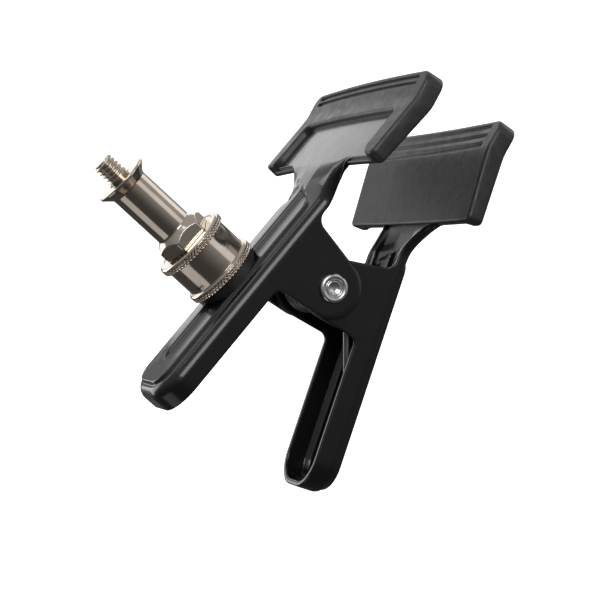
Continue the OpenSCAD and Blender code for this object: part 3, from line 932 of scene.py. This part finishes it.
@dataclass
class JawBoot(Part):
    """Rubber boot over a jaw: grip face, walls and a raised band round its open middle."""

    body: Body
    jaw: JawForm
    half: float = 41.0
    rear: float = BOOT_REAR
    tip_len: float = 8.6
    corner_r: float = 4.0
    rear_corner_r: float = 1.6
    band_t: float = 1.9
    pad_t: float = 2.2
    pad_rear_t: float = 1.2
    edge_r: float = 0.9
    band_tip: float = 13.0
    band_side: float = 8.0
    opening_r: float = 2.5
    band_end_r: float = 4.0
    lip: float = 1.0
    lip_past: float = 1.35
    lip_lean: float = 1e-3
    sink: float = -0.8
    # Grooves: width with its rounded shoulders, depths, places and powers of their section.
    groove_w: float = 1.1
    groove_round: float = 0.2
    groove_depth: float = 0.6
    band_groove: float = 1.0
    groove_start: float = 2.1
    grip_pitch: float = 2.8
    grip_count: int = 3
    band_pitch: float = 2.0
    band_count: int = 2
    groove_margin: float = 5.0
    groove_flank: float = 2.6
    groove_floor: float = 1.2
    # Spacing of the even grid lines.
    step_along: float = 0.75
    step_across: float = 1.1
    turn_lines: int = 12

    def front(self) -> float:
        """Tip of the boot, along the jaw."""
        return self.jaw.bend_x + self.tip_len

    def opening_front(self) -> float:
        """Front edge of the opening, along the jaw."""
        return self.front() - self.band_tip

    def grooves(self, pitch: float, count: int) -> Array:
        """Places of the grooves along the jaw."""
        return self.front() - self.groove_start - pitch * np.arange(count)

    def lines(self) -> tuple[Array, Array]:
        """Grid lines along and across the boot, finer at edges, grooves and round the opening.

        Each fine zone is a centre, a half width and a number of lines.

        Returns:
            Lines along and lines across.
        """
        rim = 0.8 * self.edge_r
        inner = self.half - self.band_side
        cuts = np.concatenate([self.grooves(self.grip_pitch, self.grip_count),
                               self.grooves(self.band_pitch, self.band_count)])
        along = [(self.rear + rim, rim, 8), (self.front() - rim, rim, 9),
                 (self.opening_front(), 1.5, 17), (self.rear + self.band_end_r, 2.4, 9)]
        along += [(float(c), 0.5 * self.groove_w + 0.35, 11) for c in cuts]
        across = [(side * centre, width, count) for side in (-1, 1) for centre, width, count in (
            (self.half - rim, rim, 9), (inner, 1.5, 17), (inner + 2.8, 1.1, 5),
            (self.half - self.groove_margin, 0.9, 7))]
        turn = 1.0 - np.cos(np.linspace(0.0, QUARTER_TURN, self.turn_lines))
        corners = self.rear + self.rear_corner_r * turn, self.front() - self.corner_r * turn
        return (clustered(self.rear, self.front(), self.step_along, along, *corners),
                clustered(-self.half, self.half, self.step_across, across))

    def plan(self) -> tuple[Array, Array, Array]:
        """Plan of the boot: the grid drawn in at its four rounded corners, and its depth inside.

        Returns:
            Places along and across, and the distance from the outline.
        """
        u, v = self.lines()
        wide = (self.half - round_off(self.front() - u, self.corner_r)
                - round_off(u - self.rear, self.rear_corner_r))
        uu = np.broadcast_to(u[:, None], (len(u), len(v)))
        yy = v[None, :] * (wide / self.half)[:, None]
        ends = ((self.front(), self.corner_r), (self.rear, self.rear_corner_r))
        depth = np.minimum(*(corner_depth(np.abs(end - uu), self.half - np.abs(yy), r)
                             for end, r in ends))
        return uu, yy, np.maximum(depth, 0.0)

    def opening(self, u: Array, y: Array) -> Array:
        """Signed distance into the opening: negative on the band, positive inside.

        The opening is a slot that is open behind, with rounded corners in front; the bands' rear
        ends are rounded away from it.

        Args:
            u: Place along the jaw.
            y: Place across the jaw.

        Returns:
            Distances.
        """
        inner, e = self.half - self.band_side, self.band_end_r
        dy = inner - np.abs(y)
        slot = corner_depth(self.opening_front() - u, dy, self.opening_r)
        ex, ey = self.rear + e - u, inner + e - np.abs(y)
        turned = np.hypot(np.maximum(ex, 0.0), np.maximum(ey, 0.0)) - e
        return np.where((ex > 0) & (ey > 0) & (dy < e), np.maximum(turned, slot), slot)

    def groove_cut(self, u: Array, y: Array, places: Array, deep: float) -> Array:
        """Depth of the grooves: deep (1 - (d / w)^flank)^floor across each, rounded at both ends.

        Args:
            u: Place along the jaw.
            y: Place across the jaw.
            places: Places of the grooves along the jaw.
            deep: Full depth.

        Returns:
            Depths.
        """
        w = 0.5 * self.groove_w + self.groove_round
        d = np.abs(u[..., None] - places)
        ends = np.maximum(np.abs(y)[..., None] - (self.half - self.groove_margin - w), 0.0)
        k = np.clip(np.hypot(d, ends) / w, 0.0, 1.0)
        return deep * ((1.0 - k ** self.groove_flank) ** self.groove_floor).max(axis=-1)

    def faces(self) -> tuple[Array, Array]:
        """Outer and grip faces of the boot.

        Both round down to the wall by a quarter circle; the outer face falls into the opening over
        the band's lip in a quarter of an ellipse.

        Returns:
            Points of the outer face and of the grip face.
        """
        u, y, depth = self.plan()
        edge = round_off(depth, self.edge_r)
        band_cut = self.groove_cut(u, y, self.grooves(self.band_pitch, self.band_count),
                                   self.band_groove)
        grip_cut = self.groove_cut(u, y, self.grooves(self.grip_pitch, self.grip_count),
                                   self.groove_depth)
        into = np.clip((self.opening(u, y) + self.lip) / self.lip, 0.0, self.lip_past)
        fall = 1.0 - np.sqrt(np.maximum(1.0 - np.minimum(into, 1.0) ** 2, 0.0))
        band = self.band_t - band_cut - edge
        top = band + (self.sink - band) * np.minimum(fall + self.lip_lean * into, 1.0)
        taper = np.clip((u - self.rear) / (self.jaw.bend_x - self.rear), 0.0, 1.0)
        pad = self.pad_rear_t + (self.pad_t - self.pad_rear_t) * taper
        grip = -SHEET_T - pad + grip_cut + edge
        return self.jaw.place(u, y, top), self.jaw.place(u, y, grip)

    def surface(self) -> Surface:
        """Joins the two faces by walls along their outlines.

        Returns:
            The boot.
        """
        top, grip = self.faces()
        rows, cols = top.shape[:2]
        count = rows * cols
        number = np.arange(count).reshape(rows, cols)
        rim = np.concatenate([number[0, :-1], number[:-1, -1], number[-1, :0:-1], number[:0:-1, 0]])
        on = np.roll(rim, -1)
        walls = np.stack([rim, on, on + count, rim + count], axis=-1)
        quads = np.concatenate([grid_faces(rows, cols, False),
                                grid_faces(rows, cols, False, count)[:, ::-1], walls])
        return Surface(to_frame(self.body, np.stack([top, grip])), quads)


@dataclass
class Spigot(Part):
    """Turned spigot: threaded stud, rim, waist and hexagon, all on the z axis."""

    body: Body = Body.UPPER
    thread_r: float = 3.175
    thread_pitch: float = 1.27
    thread_depth: float = 0.62
    thread_len: float = 6.8
    thread_crest: float = 0.08
    thread_flank: float = 0.80
    run_out: float = 0.7
    run_out_len: float = 0.5
    stud_low: float = 0.5
    chamfer: float = 0.6
    root: float = 0.35
    root_foot: float = 0.5
    root_top: float = 0.75
    rim_r: float = 8.0
    rim_h: float = 1.2
    rim_cone: float = 2.0
    rim_wall: float = 0.7
    waist_r: float = 5.7
    waist_len: float = 17.0
    hex_cone: float = 2.4
    hex_af: float = 14.0
    hex_h: float = 3.0
    row: float = 0.14
    columns: int = 144

    def base_z(self) -> float:
        """Lower end of the spigot."""
        return -(self.rim_h + self.rim_cone + self.waist_len + self.hex_cone + self.hex_h)

    def profile(self) -> Array:
        """Side view from the lower end up to the stud's end, with small round edges.

        Returns:
            Points of radius and height.
        """
        low, corner = self.base_z(), self.hex_af / math.sqrt(3.0)
        top, cone = low + self.hex_h, low + self.hex_h + self.hex_cone
        rim, stud, end = self.rim_r, self.thread_r, self.thread_len
        return resampled(rounded_profile([
            (0.0, low, 0.0), (corner, low, 0.25), (corner, top, 0.1), (self.waist_r, cone, 0.5),
            (self.waist_r, -self.rim_h - self.rim_cone, 0.4), (rim, -self.rim_wall, 0.2),
            (rim, 0.0, 0.25), (stud + self.root_foot, 0.0, 0.25),
            (stud - self.root, self.root, 0.2), (stud, self.root_top, 0.0),
            (stud, end - self.chamfer, 0.1), (stud - self.chamfer, end, 0.12),
            (0.0, end, 0.0)]), self.row)

    def surface(self) -> Surface:
        """Turns the profile about z and cuts the hexagon and the helical thread.

        The hexagon limits the radius to flat / cos(angle from the flat's middle); the thread takes
        depth times a rounded triangle of z / pitch - angle / 2 pi off the stud.

        Returns:
            The spigot.
        """
        inside, near_axis = 0.01, 0.1
        line = self.profile()
        r, z, angle = line[:, :1], line[:, 1:], round_angles(self.columns)
        flat = 0.5 * self.hex_af / np.cos((angle % (math.pi / 3)) - math.pi / 6)
        in_hex = z < self.base_z() + self.hex_h + self.hex_cone - inside
        radius = np.where(in_hex, np.minimum(r, flat), r)
        tooth = np.abs(2.0 * ((z / self.thread_pitch - angle / FULL_TURN) % 1.0) - 1.0)
        groove = 1.0 - smooth((tooth - self.thread_crest) / self.thread_flank)
        fade = smooth((z - self.run_out) / self.run_out_len)
        cut = np.clip(self.thread_r - self.thread_depth * groove * fade, 0.0, r)
        on_stud = (z > self.stud_low) & (r > near_axis)
        return revolve(np.where(on_stud, np.minimum(radius, cut), radius), z, angle)


@dataclass
class SpigotBase(Part):
    """Turned base under the spigot, with a knurled ring at each end."""

    body: Body = Body.UPPER
    top: float = -25.6
    height: float = 13.6
    body_r: float = 10.1
    ring_r: float = 11.2
    ring_h: float = 2.4
    edge_r: float = 0.5
    seat_rim: float = 0.6
    seat_wall: float = 0.9
    seat_depth: float = 0.12
    knurl_depth: float = 0.58
    knurl_count: int = 60
    knurl_h: float = 1.4
    knurl_low: float = 0.2
    knurl_flat: float = 0.25
    knurl_fade: float = 0.24
    knurl_row: float = 0.13
    plain_row: float = 1.2
    columns: int = 720

    def profile(self) -> Array:
        """Side view from the lower face to the upper one, with close rows on the rings' walls.

        Returns:
            Points of radius and height.
        """
        near = 0.05
        top, r, b, e = self.top, self.ring_r, self.body_r, self.edge_r
        low, seat = top - self.height, top - self.seat_depth
        a, c = low + self.ring_h, top - self.ring_h
        line = rounded_profile([
            (0.0, low, 0.0), (r, low, e), (r, a - e, 0.3), (r - e, a, 0.2), (b, a, 0.18),
            (b, c, 0.18), (r, c, e), (r, top - e, 0.3), (r - e, top, 0.2),
            (b - self.seat_rim, top, 0.2), (b - self.seat_wall, seat, 0.1), (0.0, seat, 0.0)])
        rows = [line[:1]]
        for one, two in zip(line[:-1], line[1:]):
            step = self.knurl_row if min(one[0], two[0]) > r - near else self.plain_row
            parts = max(1, math.ceil(float(np.hypot(*(two - one))) / step))
            rows.append(one + (two - one) * np.linspace(0.0, 1.0, parts + 1)[1:, None])
        return np.vstack(rows)

    def knurl(self, z: Array, angle: Array, centre: float) -> Array:
        """Depth of a diamond knurl: two crossing sets of grooves at 45 degrees.

        Each set is a triangle wave of count x angle / 2 pi plus or minus z over the tooth's pitch;
        the deeper of the two is cut, faded at the edges of the knurled strip.

        Args:
            z: Heights.
            angle: Angles.
            centre: Middle height of the strip.

        Returns:
            Depths.
        """
        lift = (z - centre) / (FULL_TURN * self.ring_r / self.knurl_count)
        around = self.knurl_count * angle / FULL_TURN
        ridge = np.maximum(*(
            smooth((np.abs((wave % 1.0) * 2.0 - 1.0) - self.knurl_flat) / (1.0 - self.knurl_flat))
            for wave in (around + lift, around - lift)))
        inside = 0.5 * (self.knurl_h + self.knurl_fade) - np.abs(z - centre)
        return self.knurl_depth * ridge * smooth(inside / self.knurl_fade)

    def surface(self) -> Surface:
        """Turns the profile about z and rolls the knurls in.

        Returns:
            The base.
        """
        near = 0.3
        line = self.profile()
        r, z, angle = line[:, :1], line[:, 1:], round_angles(self.columns)
        middle = 0.5 * self.ring_h + self.knurl_low
        cut = sum(self.knurl(z, angle, end - middle)
                  for end in (self.top - self.height + self.ring_h, self.top))
        return revolve(np.where(r > self.ring_r - near, r - cut, r), z, angle)


@dataclass
class Pivot(Part):
    """Tubular rivet with rolled heads, on the pivot axis.

    The cup in each head is a row of corners: radius, height above the shank's end and easing.
    """

    body: Body = Body.UPPER
    half: float = UPPER_HALF
    shank_r: float = 3.0
    head_r: float = 4.1
    rim_r: float = 0.65
    roll_w: float = 0.78
    roll_end: float = 0.9 * HALF_TURN
    roll_rows: int = 26
    cup: tuple = ((2.45, 0.45, 0.25), (1.95, 0.95, 0.25), (1.25, 0.62, 0.5), (0.6, 0.42, 0.3),
                  (0.0, 0.40, 0.0))
    cup_steps: int = 7
    row: float = 0.5
    columns: int = 96

    def profile(self) -> Array:
        """Side view from one head's cup over both rolled rims to the other's.

        Returns:
            Points of radius and height along the axis.
        """
        wide, tall, h = self.roll_w, self.rim_r, self.half
        roll = ring(-QUARTER_TURN, self.roll_end, self.roll_rows)
        rim = np.array([self.head_r - wide, h + tall]) + np.array([wide, tall]) * roll
        cup = rounded_profile([(*rim[-1], 0.0)] + [(r, h + z, f) for r, z, f in self.cup],
                              self.cup_steps)
        shank = np.array([[self.shank_r, 0.0], [self.shank_r, h]])
        upper = resampled(joined(shank, np.stack([shank[1], rim[0]]), rim, cup), self.row)
        return np.concatenate([upper[:0:-1] * np.array([1.0, -1.0]), upper])

    def surface(self) -> Surface:
        """Turns the profile about the pivot axis.

        Returns:
            The rivet.
        """
        line = self.profile()
        turned = revolve(line[:, :1], line[:, 1:], round_angles(self.columns))
        x, y, z = np.moveaxis(turned.points, -1, 0)
        return turned._replace(points=np.stack([x, z, -y], axis=-1) + np.asarray(PIVOT))


@dataclass
class TorsionSpring(Part):
    """Torsion spring round the sleeve, with a straight leg on each web."""

    wire_r: float = 1.1
    coil_r: float = 6.25
    half: float = 8.2667
    turns: int = 5
    leg_reach: float = 30.0
    leg_gap: float = 0.3
    cap_size: Triple = (0.0, 0.6, 0.9)
    cap_shift: Triple = (-0.3, -0.25, -0.14)
    turn_rows: int = 40
    leg_rows: int = 14
    columns: int = 20

    def carry(self, piece: bpy.types.Object) -> None:
        """Bakes the spring's place into its mesh and attaches it to neither body."""
        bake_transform(piece)

    def leg_z(self) -> float:
        """Height of a leg's end under the shoulder that it bears on."""
        return (WEB_RISE - (self.half - WEB_FLAT / 2) * math.tan(SHOULDER)
                - (SHEET_T + self.leg_gap + self.wire_r) / math.cos(SHOULDER))

    def path(self) -> Array:
        """Centre line: a leg, the coil and the other leg, each leg tangent to the coil.

        Returns:
            Points about the pivot.
        """
        x, z = self.leg_reach, self.leg_z()
        start = math.atan2(z, -x) - math.acos(self.coil_r / math.hypot(x, z))
        sweep = 2 * start - SPREAD + FULL_TURN * self.turns
        u = np.linspace(0.0, 1.0, self.turn_rows * self.turns + 1)
        a = start - u * sweep
        coil = np.stack([self.coil_r * np.cos(a), self.half * (1 - 2 * u),
                         self.coil_r * np.sin(a)], -1)
        c, s = math.cos(SPREAD), math.sin(SPREAD)
        top = np.array([-x, self.half, z])
        low = np.array([-c * x + s * z, -self.half, -s * x - c * z])
        return joined(np.linspace(top, coil[0], self.leg_rows), coil,
                      np.linspace(coil[-1], low, self.leg_rows))

    def surface(self) -> Surface:
        """Carries a circle along the path and closes it with round ends.

        A ring's plane holds the pivot axis's direction less its part along the wire, and the cross
        product of that with the wire's run.

        Returns:
            The spring.
        """
        merge = 0.002
        path = self.path()
        n, caps = len(path), len(self.cap_size)
        run = unit(np.gradient(path, axis=0))
        side = unit(np.array([0.0, 1.0, 0.0]) - run * run[:, 1:2])
        up = np.cross(run, side)
        a = round_angles(self.columns)[..., None]
        hoop = side[:, None] * np.cos(a) + up[:, None] * np.sin(a)
        size, shift = np.array(self.cap_size), np.array(self.cap_shift)
        path[0] -= shift[0] * run[0]
        path[-1] += shift[0] * run[-1]
        size = np.concatenate([size, np.ones(n), size[::-1]])[:, None, None]
        shift = np.concatenate([shift, np.zeros(n), -shift[::-1]])[:, None, None]
        pick = np.concatenate([np.zeros(caps, int), np.arange(n), np.full(caps, n - 1)])
        points = path[pick][:, None] + shift * run[pick][:, None] + self.wire_r * size * hoop[pick]
        points = points + np.asarray(PIVOT)
        return closed_grid(points, merge)


# ----------------------------------------------------------------------------------- the studio

# Soft boxes: name, direction to the right, the top and the depth of the picture, distance in
# metres, width and height in metres and brightness of the face.
BOXES = (
    ("backdrop", (-0.02, 0.53, 0.85), 1.0, (1.05, 0.5), 1.0),
    ("upper_left", (-0.63, 0.71, 0.32), 0.9, (0.6, 0.5), 0.7),
    ("upper_right", (0.72, 0.53, 0.45), 0.9, (0.5, 0.5), 0.8),
    ("over_camera", (0.15, 0.40, -0.90), 0.9, (0.42, 0.45), 3.8),
    ("above", (-0.5, 0.79, -0.33), 0.9, (0.25, 0.12), 2.2),
    ("right_side", (0.87, 0.27, -0.42), 0.9, (0.42, 0.6), 0.5),
    ("left_low", (-0.84, 0.05, 0.54), 0.9, (0.5, 0.6), 1.8),
    ("below", (-0.35, -0.9, -0.2), 0.9, (0.6, 0.4), 0.5))


def posed(name: str, data: bpy.types.ID, axes: tuple, place: Array) -> bpy.types.Object:
    """Adds a camera or a light at a place, with given axes.

    Args:
        name: Name of the object.
        data: Its data.
        axes: Its own x, y and z axes.
        place: Where it stands, in metres.

    Returns:
        The object.
    """
    thing = bpy.data.objects.new(name, data)
    bpy.context.collection.objects.link(thing)
    turn = np.eye(4)
    turn[:3, :3], turn[:3, 3] = np.stack(axes, axis=-1), place
    thing.matrix_world = Matrix(turn.tolist())
    return thing


@dataclass
class Studio:
    """Camera at the photograph's angle, pale floor, grey surround and soft boxes.

    The lens and the sensor are in millimetres, all other lengths in metres.
    """

    lens: float = 100.554
    sensor: float = 36.0
    clip_end: float = 200.0
    eye: Triple = (-0.09166, -0.44234, 0.07208)
    right: Triple = (0.6187507, -0.35271291, -0.70195525)
    up: Triple = (0.75592527, 0.02409955, 0.65421418)
    back: Triple = (-0.21383298, -0.9354212, 0.28153622)
    aim: Triple = (0.015, 0.0, -0.045)
    floor_gap: float = 0.045
    floor_half: float = 30.0
    floor_lines: int = 61
    sweep_start: float = 8.0
    sweep_len: float = 20.0
    sweep_rise: float = 12.0
    world_from: tuple = (-0.6, 0.9)
    world_to: tuple = (0.06, 0.45)

    def camera(self) -> None:
        """Makes the camera from its axes and its place."""
        data = bpy.data.cameras.new("camera")
        data.sensor_width, data.lens, data.clip_end = self.sensor, self.lens, self.clip_end
        axes = (self.right, self.up, self.back)
        bpy.context.scene.camera = posed("camera", data, axes, self.eye)

    def floor(self, level: float, material: bpy.types.Material) -> None:
        """Makes the floor as a grid, flat under the part and swept up far away by the cubic step.

        Args:
            level: Height of the floor.
            material: Its finish.
        """
        side = np.linspace(-self.floor_half, self.floor_half, self.floor_lines)
        x, y = np.meshgrid(side, side, indexing="ij")
        z = level + self.sweep_rise * smooth((np.hypot(x, y) - self.sweep_start) / self.sweep_len)
        quads = grid_faces(self.floor_lines, self.floor_lines, False)
        piece = make_mesh("floor", Surface(np.stack([x, y, z], axis=-1) / MM, quads), material)
        piece.visible_glossy = piece.visible_diffuse = piece.visible_shadow = False
        piece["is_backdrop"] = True

    def surround(self) -> None:
        """Sets a grey surround that brightens towards the upper edge of the picture."""
        world = bpy.data.worlds.new("surround")
        bpy.context.scene.world = world
        world.use_nodes = True
        tree = world.node_tree
        node = tree.nodes["Background"]
        node.inputs["Color"].default_value = (1.0, 1.0, 1.0, 1.0)
        place = wire(tree, "ShaderNodeTexCoord", {}, {})["Generated"]
        rise = wire(tree, "ShaderNodeVectorMath", {1: self.up}, {0: place}, operation="DOT_PRODUCT")
        limits = dict(zip(("From Min", "From Max", "To Min", "To Max"),
                          self.world_from + self.world_to))
        span = wire(tree, "ShaderNodeMapRange", limits, {"Value": rise["Value"]},
                    interpolation_type="SMOOTHSTEP")
        tree.links.new(span["Result"], node.inputs["Strength"])

    def lights(self) -> None:
        """Hangs the soft boxes by their directions from the part, each turned to it."""
        steep = 0.95
        for name, (side, rise, depth), far, size, glow in BOXES:
            data = bpy.data.lights.new(name, "AREA")
            data.shape = "RECTANGLE"
            data.size, data.size_y = size
            data.energy = glow * math.pi * size[0] * size[1]
            away = unit(side * np.asarray(self.right) + rise * np.asarray(self.up)
                        - depth * np.asarray(self.back))
            x = unit(np.cross(-away, (0.0, 0.0, 1.0) if abs(away[2]) < steep else (0.0, 1.0, 0.0)))
            axes = (x, np.cross(away, x), away)
            light = posed(name, data, axes, np.asarray(self.aim) + far * away)
            light.visible_camera = False


def main() -> None:
    """Builds every sub-assembly in order, then the studio."""
    logging.basicConfig(level=logging.INFO, format="%(name)s %(message)s")
    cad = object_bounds()
    paint, boot, washer, nickel, zinc, rivet, steel, pale = (look.material() for look in (
        PAINT, BOOT_RUBBER, WASHER_RUBBER, NICKEL, ZINC, RIVET_ZINC, WIRE, FLOOR))
    jaw = JawForm()
    top, low = Body.UPPER, Body.LOWER
    for form, name, node, material, slot in (
            (SheetArm(top, jaw, UPPER_HALF), "upper_arm_sheet", "upper_arm", paint, Slot.PAINT),
            (SheetArm(low, jaw, LOWER_HALF), "lower_arm_sheet", "lower_arm", paint, Slot.PAINT),
            (JawBoot(top, jaw), "upper_boot_moulded", "upper_jaw_boot", boot, Slot.BOOT),
            (JawBoot(low, jaw), "lower_boot_moulded", "lower_jaw_boot", boot, Slot.BOOT),
            (Spigot(), "spigot_turned", "spigot", nickel, Slot.NICKEL),
            (SpigotBase(), "spigot_base_turned", "spigot_base", nickel, Slot.NICKEL),
            (Pivot(), "pivot_rivet_rolled", "pivot_rivet", rivet, Slot.ZINC),
            (TorsionSpring(), "torsion_spring_wire", "torsion_spring", steel, Slot.SPRING)):
        form.build(name, node, material, slot)
    repaint("saddle_washer", washer)
    for node in ("pivot_sleeve", "base_bolt", "plain_washer", "lock_washer"):
        repaint(node, zinc)
    bpy.context.scene.view_settings.view_transform = "Standard"
    studio = Studio()
    studio.camera()
    studio.floor(float(cad[0][2]) - studio.floor_gap, pale)
    studio.surround()
    studio.lights()


if __name__ == "__main__":
    main()
